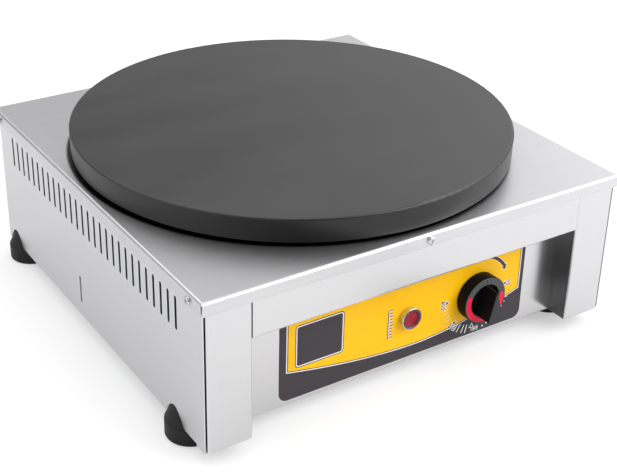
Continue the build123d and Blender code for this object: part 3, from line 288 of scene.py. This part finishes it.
def plain_metal(name, color, roughness, mottle=40.0, depth=0.02):
    """Plated or drawn metal with a light mottle, its relief's depth in millimetres."""
    finish = Finish(name, color, roughness, metallic=1.0)
    patches = finish.noise(mottle, detail=5.0, rough=0.6)
    finish.tint(finish.stretch(patches), dark=0.82)
    finish.rough(finish.stretch(patches, low=1.0, high=0.0), spread=0.08)
    finish.bump(finish.noise(900.0, detail=3.0), depth * MM, strength=0.4, edge=0.15 * MM)
    return finish.material


def moulded(name, color, roughness, grain=1400.0, depth=0.03, specular=0.5):
    """Moulded plastic or rubber with a fine eroded texture, its depth in millimetres."""
    finish = Finish(name, color, roughness)
    grit = finish.noise(grain, detail=3.0, rough=0.55)
    clouds = finish.noise(30.0, detail=4.0)
    finish.tint(finish.stretch(clouds), dark=0.86)
    finish.rough(finish.stretch(grit), spread=0.06)
    finish.bump(grit, depth * MM, strength=0.5, edge=0.2 * MM)
    return finish.set(Specular_IOR_Level=specular)


def dial_moulding(name):
    """Black dial, with a painted sheen in grey where the ring and the grip face the front, and a painted
    highlight in grey on its sharp edges.
    """
    finish = Finish(name, DIAL_BLACK, 0.44)
    depth = finish.axes("Object")[1]
    # Painted sheen: grey on the faces turned to the front, on the raised ring's face and less on the grip
    facing = finish.ramp(finish.axes("Normal")[1], -0.97, -0.85, low=1.0, high=0.0)
    raised = finish.ramp(depth, RING_FACE_Y + 0.3 * MM, RING_FACE_Y + 0.9 * MM, low=1.0, high=0.0)
    off_grip = finish.ramp(depth, GRIP_TOP_Y, GRIP_TOP_Y + 2.0 * MM, low=0.6, high=1.0)
    grit = finish.noise(1500.0, detail=3.0, rough=0.6)
    painted_sheen = finish.product(facing, raised, off_grip, finish.ramp(grit, 0.35, 0.65, low=0.72))
    # Painted highlight in grey along the sharp edges
    painted_edge_highlight = finish.calc("MULTIPLY", finish.highlight_edges(0.5 * MM), 0.8)
    finish.paint(finish.calc("MAXIMUM", painted_sheen, painted_edge_highlight), DIAL_BLACK, DIAL_GREY)
    finish.rough(finish.stretch(grit), spread=0.06)
    finish.bump(grit, depth=0.03 * MM, strength=0.5, edge=0.25 * MM)
    return finish.set(IOR=1.14)


def printed(name, color, roughness=0.34):
    """Screen-printed ink under a satin film."""
    finish = Finish(name, color, roughness)
    finish.tint(finish.stretch(finish.noise(26.0, detail=3.0)), dark=0.94)
    finish.rough(finish.stretch(finish.noise(320.0, detail=3.0)), spread=0.04)
    finish.bump(finish.noise(700.0, detail=2.0), depth=0.008 * MM, strength=0.35)
    return finish.set(Specular_IOR_Level=0.25)


def cast_plate(name):
    """Seasoned cast iron: turning marks and satin smears on the top, slight pitting, a black rim."""
    finish = Finish(name, IRON, 0.38)
    turning_pitch = 0.7 * MM
    wave = finish.calc("SINE", finish.calc("MULTIPLY", finish.from_axis(), 2 * math.pi / turning_pitch))
    pits = finish.noise(520.0, detail=4.0, rough=0.6)
    smears = finish.stretched_noise((3.2, 9.0, 3.2), detail=5.0, rough=0.55, turn=0.5)
    tinted = finish.tint(finish.stretch(smears), dark=0.45, light=1.5)
    top = finish.ramp(finish.axes("Normal")[2], 0.2, 0.95)
    finish.paint(finish.calc("SUBTRACT", 1.0, top), tinted, IRON_RIM)
    own = finish.ramp(top, 0.0, 1.0, low=0.36, high=finish.roughness)
    rough = finish.calc("ADD", own, finish.stretch(smears, low=-0.06, high=0.06))
    finish.feed(finish.shader.inputs["Roughness"], rough)
    finish.bump(finish.calc("ADD", pits, finish.calc("MULTIPLY", wave, 0.10)), depth=0.02 * MM, strength=0.3)
    return finish.set(IOR=1.55)


def felt(name):
    """Ceramic fibre."""
    finish = Finish(name, FIBRE, 0.5)
    fibres = finish.stretched_noise((900.0, 250.0, 900.0), detail=6.0, rough=0.7)
    finish.tint(finish.stretch(fibres), dark=0.8)
    finish.bump(fibres, depth=0.4 * MM, strength=0.8)
    return finish.material


def tinted_lens(name):
    """Red moulded lens, with a fine prismatic grain."""
    finish = Finish(name, LENS_RED, 0.5)
    grain = finish.noise(420.0, detail=2.0)
    finish.tint(finish.stretch(grain), dark=0.8, light=1.15)
    finish.bump(grain, depth=0.06 * MM, strength=0.3)
    return finish.material


# ---------------------------------------------------------------- CAD nodes' finishes

steel_x = brushed_steel("stainless_across", "X", roughness=0.24)
# The cover carries the painted shadow under the plate and painted shade towards its left
steel_cover = brushed_steel("stainless_cover", "X", roughness=0.36, streak=0.10, shade=painted_cover_shade)
steel_y = brushed_steel("stainless_deep", "Y")
# The posts carry painted shade on their faces turned sideways
steel_z = brushed_steel("stainless_upright", "Z", shade=painted_recess_shade)
zinc = plain_metal("zinc_plated", ZINC, 0.30)
galvanised = plain_metal("galvanised_sheet", GALVANISED, 0.42, mottle=18.0)
copper = plain_metal("bare_copper", COPPER, 0.32)
brass = plain_metal("plain_brass", BRASS, 0.30)
chrome = plain_metal("polished_chrome", CHROME, 0.26, depth=0.002)
sheath = plain_metal("element_sheath", SHEATH, 0.46)
rubber = moulded("black_rubber", RUBBER, 0.52, grain=900.0, specular=0.35)
dial_black = dial_moulding("dial_black")
nylon = moulded("black_nylon", NYLON, 0.45)
moulding = moulded("white_moulding", MOULDING, 0.5)
enamel = moulded("black_enamel", ENAMEL, 0.35, grain=400.0, depth=0.02)
dial_red = printed("dial_red", DIAL_RED, 0.36)
charcoal = printed("label_charcoal", CHARCOAL)
yellow = printed("label_yellow", YELLOW)
ink_white = printed("label_white", WHITE)
ink_dark = printed("label_dark", CHARCOAL)
iron = cast_plate("seasoned_iron")
lens = tinted_lens("lamp_lens")
fibre = felt("ceramic_fibre")

NODE_FINISHES = {
    iron: ["crepe_plate"],
    enamel: ["plate_support_ring"],
    steel_x: ["front_panel", "rear_panel"],
    steel_cover: ["top_cover"],
    steel_y: ["side_panel_left", "side_panel_right"],
    steel_z: ["front_post_left", "front_post_right"],
    zinc: [
        "plate_studs", "clamp_nuts", "tray_nuts", "cover_screws", "cover_nuts", "rear_panel_screws",
        "rear_panel_nuts", "foot_screws", "foot_nuts", "foot_washers", "thermostat_screws",
        "thermostat_shaft", "knob_spring_clip", "pilot_lamp_nut",
    ],
    galvanised: ["element_clamp", "heat_tray", "reflector_plate", "base_plate", "bulb_clip"],
    sheath: ["heating_element_outer", "heating_element_inner"],
    copper: ["thermostat_bulb", "capillary_tube"],
    brass: ["terminal_screws", "earth_stud", "earth_nuts"],
    chrome: ["pilot_lamp_bezel"],
    lens: ["pilot_lamp_lens"],
    rubber: ["foot_front_left", "foot_front_right", "foot_rear_left", "foot_rear_right"],
    dial_black: ["control_knob"],
    dial_red: ["knob_heat_arc"],
    charcoal: ["control_label"],
    nylon: ["pilot_lamp_body", "cable_gland", "gland_cap", "gland_nut"],
    moulding: ["thermostat_body", "terminal_block"],
    fibre: ["insulation_pad"],
}

for node_finish, node_names in NODE_FINISHES.items():
    for node_name in node_names:
        node_mesh = frame["nodes"][node_name].data
        node_mesh.materials.clear()
        node_mesh.materials.append(node_finish)


# ---------------------------------------------------------------- printed label
# The print's measures are millimetres in the frame's X and Z. Angles round the dial are degrees,
# from +X and counterclockwise as seen from the front.

# How far one layer of ink lifts the next, and the layers that lie over each other
INK = 0.04 * MM
FIELD_KEYLINE, FIELD_THIN_LINE, FIELD_COLOUR = 1, 2, 3
EDGE_LAYER, MARK_LAYER, BADGE_LAYER = 4, 5, 6

KEYLINE = 1.0
THIN_LINE = 0.8
CORNER_STEPS = 8
MITRE_LIMIT = 0.5


def printed_shape(name, outlines, material, layer):
    """Ink on the label: closed outlines, raised by a number of ink layers."""
    shape = bmesh.new()
    for outline in outlines:
        shape.faces.new([shape.verts.new((x * MM, LABEL_Y, z * MM)) for x, z in outline])
    grown = bmesh.ops.extrude_face_region(shape, geom=shape.faces[:])["geom"]
    front = [part for part in grown if isinstance(part, bmesh.types.BMVert)]
    bmesh.ops.translate(shape, verts=front, vec=(0, -layer * INK, 0))
    bmesh.ops.recalc_face_normals(shape, faces=shape.faces[:])
    mesh = bpy.data.meshes.new(name)
    shape.to_mesh(mesh)
    shape.free()
    mesh.materials.append(material)
    piece = bpy.data.objects.new(name, mesh)
    bpy.context.scene.collection.objects.link(piece)
    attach(piece, "casing")


def edged_print(edge_name, edges, mark_name, marks):
    """White shapes on the colour, and dark marks on them."""
    printed_shape(edge_name, edges, ink_white, EDGE_LAYER)
    printed_shape(mark_name, marks, ink_dark, MARK_LAYER)


def left_normal(start, end):
    """The unit vector to the left of a line from one point to another."""
    edge = Vector(end) - Vector(start)
    return Vector((-edge.y, edge.x)).normalized()


def inset(outline, distance):
    """A closed counterclockwise outline, moved inwards by a distance."""
    moved = []
    for i, point in enumerate(outline):
        before = left_normal(outline[i - 1], point)
        after = left_normal(point, outline[(i + 1) % len(outline)])
        corner = (before + after).normalized()
        moved.append(tuple(Vector(point) + corner * distance / corner.dot(before)))
    return moved


def arc_points(cx, cz, rx, rz, start, end, steps):
    """Points along an elliptical arc."""
    angles = [math.radians(start + (end - start) * i / steps) for i in range(steps + 1)]
    return [(cx + rx * math.cos(angle), cz + rz * math.sin(angle)) for angle in angles]


def rounded_box(x_low, x_high, z_low, z_high, radius):
    """A rounded rectangle's outline, counterclockwise."""
    corners = (
        (x_high - radius, z_high - radius, 0), (x_low + radius, z_high - radius, 90),
        (x_low + radius, z_low + radius, 180), (x_high - radius, z_low + radius, 270),
    )
    points = []
    for x, z, start in corners:
        points += arc_points(x, z, radius, radius, start, start + 90, CORNER_STEPS)
    return points


def line_sides(points, width, closed):
    """The right and left edge of a line of some width at each of its points, mitred."""
    sides = []
    for i, point in enumerate(points):
        normals = []
        if closed or i:
            normals.append(left_normal(points[i - 1], point))
        if closed or i < len(points) - 1:
            normals.append(left_normal(point, points[(i + 1) % len(points)]))
        corner = (normals[0] + normals[-1]).normalized()
        reach = corner * width / 2 / max(MITRE_LIMIT, corner.dot(normals[0]))
        sides.append((tuple(Vector(point) - reach), tuple(Vector(point) + reach)))
    return sides


def band(points, width, closed=False):
    """The outline of a line of some width. A closed, clockwise line gives its outer edge."""
    sides = line_sides(points, width, closed)
    left = [side[1] for side in sides]
    return left if closed else [side[0] for side in sides] + left[::-1]


def round_dial(radius, degrees):
    """A point round the dial's axis."""
    angle = math.radians(degrees)
    return (DIAL_X / MM + radius * math.cos(angle), DIAL_Z / MM + radius * math.sin(angle))


def field_outline():
    """The coloured field's keyline: upright sides and a bottom edge that sags to its lowest point."""
    left, right, top, steps = -120.7, 123.2, 99.0, 48
    low_x, low_z = 10.0, 31.2
    bottom = []
    for i in range(steps + 1):
        x = left + (right - left) * i / steps
        share, power = (0.00324, 1.75) if x < low_x else (0.00413, 1.8)
        bottom.append((x, low_z + share * abs(x - low_x) ** power))
    return bottom + [(right, top), (left, top)]


def badge_field():
    """A plain dark field in a light keyline, in the badge's place."""
    outer = rounded_box(x_low=-112.4, x_high=-65.4, z_low=49.4, z_high=89.6, radius=3.5)
    printed_shape("badge_shadow_line", [outer], ink_dark, EDGE_LAYER)
    printed_shape("badge_keyline", [inset(outer, THIN_LINE)], ink_white, MARK_LAYER)
    printed_shape("badge_field", [inset(outer, THIN_LINE + KEYLINE)], charcoal, BADGE_LAYER)


def comb_mark():
    """The small ruler mark left of the lamp: a spine with teeth, the longer ones at its ends and middle."""
    spine, low, high, teeth, long_teeth = -20.6, 46.4, 74.2, 10, (0, 4, 5, 9)
    half_line, edge, end, radius = 0.38, 1.1, 0.4, 0.3
    back, front = spine - 0.5, spine + 0.3
    first, last = low + 0.5, high - 0.5
    lines = [rounded_box(back, front, low - end, high + end, radius)]
    edges = [rounded_box(back, spine + edge, low - end, high + end, radius)]
    for i in range(teeth):
        z = first + (last - first) * i / (teeth - 1)
        tip = spine + (4.9 if i in long_teeth else 4.3)
        edges.append(rounded_box(spine + edge, tip, z - edge, z - half_line, radius))
        lines.append(rounded_box(spine + 0.8, tip, z - half_line, z + half_line, radius))
    edged_print("ruler_mark_edges", edges, "ruler_mark_lines", lines)


FINE_TICKS = (-174.5, -170, -164, -157.6, -150)
BROAD_TICKS = (-126.6, -120.5, -111.8, -104.8)
DOT_SIDES = 16
# Each dot's distance from the axis, angle and radius
TICK_DOTS = (
    (37.2, -74.1, 0.85), (37.2, -66.8, 0.75), (37.3, -59, 0.65), (37.4, -51, 0.6),
    (37.6, -43, 0.55), (37.8, -35.5, 0.5), (38.0, -28, 0.5), (38.0, -20.6, 0.55),
)


def dial_ticks():
    """Ticks round the dial: fine leaning ones on the colour, broad ones on the dark edge, then dots."""
    fine_width, broad_width, lean = 0.3, 0.95, 1.4
    fine = [band([round_dial(31.2, at + lean), round_dial(37.3, at)], fine_width) for at in FINE_TICKS]
    printed_shape("dial_ticks_fine", fine, ink_white, EDGE_LAYER)
    broad = [band([round_dial(29.9, at), round_dial(38.0, at)], broad_width) for at in BROAD_TICKS]
    for radius, at, size in TICK_DOTS:
        broad.append(arc_points(*round_dial(radius, at), size, size, 0, 360 - 360 / DOT_SIDES, DOT_SIDES - 1))
    printed_shape("dial_ticks_broad", broad, ink_white, EDGE_LAYER)


def turn_arrow():
    """The curved arrow over the dial, clockwise, dark with a white edge."""
    def outline(low, high, start, neck, tip, head_low, head_high):
        steps, barb, tip_r = 16, 0.6, 35.0
        outer = [round_dial(high, start + (neck - start) * i / steps) for i in range(steps + 1)]
        inner = [round_dial(low, neck + (start - neck) * i / steps) for i in range(steps + 1)]
        head = [round_dial(head_high, neck - barb), round_dial(tip_r, tip), round_dial(head_low, neck - barb)]
        return outer + head + inner

    edge = outline(34.1, 37.6, start=79.0, neck=34.8, tip=26.4, head_low=31.8, head_high=38.5)
    mark = outline(34.4, 37.3, start=78.0, neck=34.3, tip=27.4, head_low=32.4, head_high=37.9)
    edged_print("turn_arrow_edge", [edge], "turn_arrow", [mark])


DIGIT_W = 1.75
DIGIT_H = 3.3
DIGIT_PITCH = 3.1
DIGIT_LINE = 0.64
DIGIT_HALO = 1.36
# Each digit's centre line, in a box of one by one, and whether it is closed
DIGITS = {
    "0": (arc_points(0.5, 0.5, 0.5, 0.5, 90, -254, 16), True),
    "1": ([(0.2, 0.74), (0.62, 1.0), (0.62, 0.0)], False),
    "2": (arc_points(0.5, 0.72, 0.46, 0.28, 165, -30, 9) + [(0.04, 0.0), (1.0, 0.0)], False),
    "3": (
        arc_points(0.45, 0.75, 0.46, 0.25, 150, -80, 8) + arc_points(0.45, 0.27, 0.52, 0.27, 80, -150, 9),
        False,
    ),
    "5": (
        [(0.92, 1.0), (0.14, 1.0), (0.06, 0.52)] + arc_points(0.44, 0.31, 0.52, 0.31, 120, -150, 10),
        False,
    ),
}


def dial_number(name, text, radius, degrees):
    """A number round the dial, its top towards the axis: dark digits in a white outline."""
    turn = Matrix.Rotation(math.radians(degrees + 90), 2)
    centre = Vector(round_dial(radius, degrees))
    first = -(len(text) - 1) / 2 * DIGIT_PITCH
    halos, strokes = [], []
    for i, digit in enumerate(text):
        points, closed = DIGITS[digit]
        placed = []
        for x, y in points:
            local = Vector((first + i * DIGIT_PITCH + (x - 0.5) * DIGIT_W, (y - 0.5) * DIGIT_H))
            placed.append(tuple(centre + turn @ local))
        halos.append(band(placed, DIGIT_HALO, closed))
        strokes.append(band(placed + placed[:1] if closed else placed, DIGIT_LINE))
    edged_print(f"{name}_outline", halos, f"{name}_digits", strokes)


def dial_pointer(name, radius, degrees):
    """A small dark triangle in a white one, pointing to the dial's axis."""
    def triangle(tip, base, half):
        spread = math.degrees(half / base)
        corners = ((tip, degrees), (base, degrees - spread), (base, degrees + spread))
        return [round_dial(*corner) for corner in corners]

    edge = triangle(tip=radius - 2.7, base=radius + 2.3, half=2.9)
    mark = triangle(tip=radius - 1.5, base=radius + 1.5, half=1.8)
    edged_print(f"{name}_edge", [edge], name, [mark])


# Each number's distance and angle, and its pointer's
DIAL_NUMBERS = (
    ("50", 36.3, 1.3, 31.8, 2.4),
    ("100", 35.4, -89.0, 31.5, -94.3),
    ("200", 35.9, -135.1, 31.1, -136.2),
    ("300", 36.6, 179.6, 32.2, 178.4),
)

field = field_outline()
printed_shape("field_keyline", [field], ink_white, FIELD_KEYLINE)
printed_shape("field_thin_line", [inset(field, KEYLINE)], ink_dark, FIELD_THIN_LINE)
printed_shape("field_colour", [inset(field, KEYLINE + THIN_LINE)], yellow, FIELD_COLOUR)
badge_field()
comb_mark()
dial_ticks()
turn_arrow()
for number, number_r, number_at, pointer_r, pointer_at in DIAL_NUMBERS:
    dial_number(f"dial_number_{number}", number, number_r, number_at)
    dial_pointer(f"dial_pointer_{number}", pointer_r, pointer_at)


# ---------------------------------------------------------------- stage, light and camera

FLOOR_HALF = 6.0
FLOOR_Z = -0.0002
# The floor's own light, which brings its grey up to white for the camera and a little in reflections
CAMERA_LIFT = 0.42
GLOSSY_LIFT = 0.16
# The floor's dark patch before the dial, which shows only in reflections
PATCH_X, PATCH_Y, PATCH_R, PATCH_BLUR = 0.080, -0.280, 0.05, 0.01
# What lights the object's dull faces from all round
AMBIENT = 0.88
# The direction from the object to the camera, in X and Y
CAMERA_SIDE = (-0.55, -0.84)
MIDDLE = (0.0, 0.0, 0.1)
# Each lamp's place, size in metres and power in watts
SOFTBOXES = {
    "key_softbox": ((0.9, -1.3, 1.2), 1.4, 22.0),
    "fill_softbox": ((-1.8, -0.7, 0.9), 1.6, 5.0),
    "top_softbox": ((-0.2, 0.6, 2.0), 1.8, 10.0),
}
# The photograph's camera, for a frame of 617 by 472
CAMERA_PLACE = (-0.5708, -0.8903, 0.6360)
CAMERA_DEGREES = (63.185, -0.994, -32.597)
CAMERA_LENS = 73.98
CAMERA_SHIFT = (0.0148, -0.0768)


def floor_material():
    """A dull pale floor, lifted for the camera and for reflections, with its dark patch in these alone."""
    material = bpy.data.materials.new("pale_floor")
    material.use_nodes = True
    nodes = Nodes(material.node_tree)
    shader = nodes.tree.nodes["Principled BSDF"].inputs
    shader["Roughness"].default_value = 0.9
    shader["Specular IOR Level"].default_value = 0.0
    shader["Emission Color"].default_value = PURE_WHITE
    rays = nodes.new("ShaderNodeLightPath").outputs
    from_patch = nodes.from_axis(PATCH_X, PATCH_Y)
    start, end = PATCH_R - PATCH_BLUR, PATCH_R + PATCH_BLUR
    patch = nodes.ramp(from_patch, start, end, low=1.0, high=0.0, kind="SMOOTHSTEP")
    hidden = nodes.calc("MULTIPLY", patch, rays["Is Glossy Ray"])
    nodes.feed(shader["Base Color"], nodes.mix("RGBA", hidden, FLOOR_PALE, FLOOR_DARK))
    lifts = [nodes.calc("MULTIPLY", rays["Is Camera Ray"], CAMERA_LIFT),
             nodes.calc("MULTIPLY", rays["Is Glossy Ray"], GLOSSY_LIFT)]
    lit = nodes.calc("MULTIPLY", nodes.calc("ADD", *lifts), nodes.calc("SUBTRACT", 1.0, hidden))
    nodes.feed(shader["Emission Strength"], lit)
    return material


def stage_floor():
    """A wide floor that keeps the object's shadow."""
    mesh = bpy.data.meshes.new("floor")
    corners = [(x * FLOOR_HALF, y * FLOOR_HALF, 0) for x, y in ((-1, -1), (1, -1), (1, 1), (-1, 1))]
    mesh.from_pydata(corners, [], [(0, 1, 2, 3)])
    mesh.materials.append(floor_material())
    floor = bpy.data.objects.new("floor", mesh)
    floor.location.z = FLOOR_Z
    bpy.context.scene.collection.objects.link(floor)


def studio_world():
    """White behind the object; in reflections a studio with bright sides and a dim camera end."""
    world = bpy.data.worlds.new("studio")
    bpy.context.scene.world = world
    world.use_nodes = True
    nodes = Nodes(world.node_tree)
    x, y, z = nodes.axes("Generated")

    def ramp(value, start, end, low, high):
        return nodes.ramp(value, start, end, low, high, kind="SMOOTHSTEP")

    right = nodes.product(ramp(x, 0.30, 1.0, 0.48, 1.62), ramp(x, -0.5, 0.0, 0.5, 1.0))
    back_strip = nodes.product(
        ramp(z, 0.5, 0.6, 0.0, 1.3), ramp(x, 0.0, 0.25, 1.0, 0.0),
        ramp(z, 0.66, 0.78, 1.0, 0.0), ramp(y, 0.5, 0.68, 0.0, 1.0),
    )
    left = ramp(x, -0.85, -0.5, 0.9, 0.0)
    sides = nodes.calc("ADD", nodes.calc("ADD", right, back_strip), left)
    overhead = ramp(z, 0.55, 0.85, 1.0, 1.2)
    towards = nodes.calc("ADD", *[nodes.calc("MULTIPLY", *pair) for pair in zip((x, y), CAMERA_SIDE)])
    camera_end = ramp(towards, 0.25, 0.8, 1.0, 0.2)
    mirrored = nodes.product(sides, overhead, camera_end)

    rays = nodes.new("ShaderNodeLightPath").outputs
    seen = ramp(rays["Is Camera Ray"], 0.0, 1.0, AMBIENT, 1.0)
    shown = nodes.mix("FLOAT", rays["Is Glossy Ray"], seen, mirrored)
    sky = nodes.tree.nodes["Background"].inputs
    sky["Color"].default_value = PURE_WHITE
    nodes.feed(sky["Strength"], nodes.calc("MAXIMUM", shown, rays["Is Transmission Ray"]))


def softbox(name, place, size, power):
    """A square area lamp aimed at the object."""
    lamp = bpy.data.lights.new(name, "AREA")
    lamp.shape = "SQUARE"
    lamp.size = size
    lamp.energy = power
    holder = bpy.data.objects.new(name, lamp)
    holder.location = place
    holder.rotation_euler = (Vector(MIDDLE) - Vector(place)).to_track_quat("-Z", "Y").to_euler()
    bpy.context.scene.collection.objects.link(holder)


def photo_camera():
    """The camera at the photograph's place."""
    data = bpy.data.cameras.new("camera")
    data.sensor_width = 36.0
    data.lens = CAMERA_LENS
    data.shift_x, data.shift_y = CAMERA_SHIFT
    camera = bpy.data.objects.new("camera", data)
    camera.location = CAMERA_PLACE
    camera.rotation_euler = [math.radians(angle) for angle in CAMERA_DEGREES]
    bpy.context.scene.collection.objects.link(camera)
    bpy.context.scene.camera = camera


stage_floor()
studio_world()
for lamp_name, lamp_settings in SOFTBOXES.items():
    softbox(lamp_name, *lamp_settings)
photo_camera()
bpy.context.scene.view_settings.view_transform = "Standard"
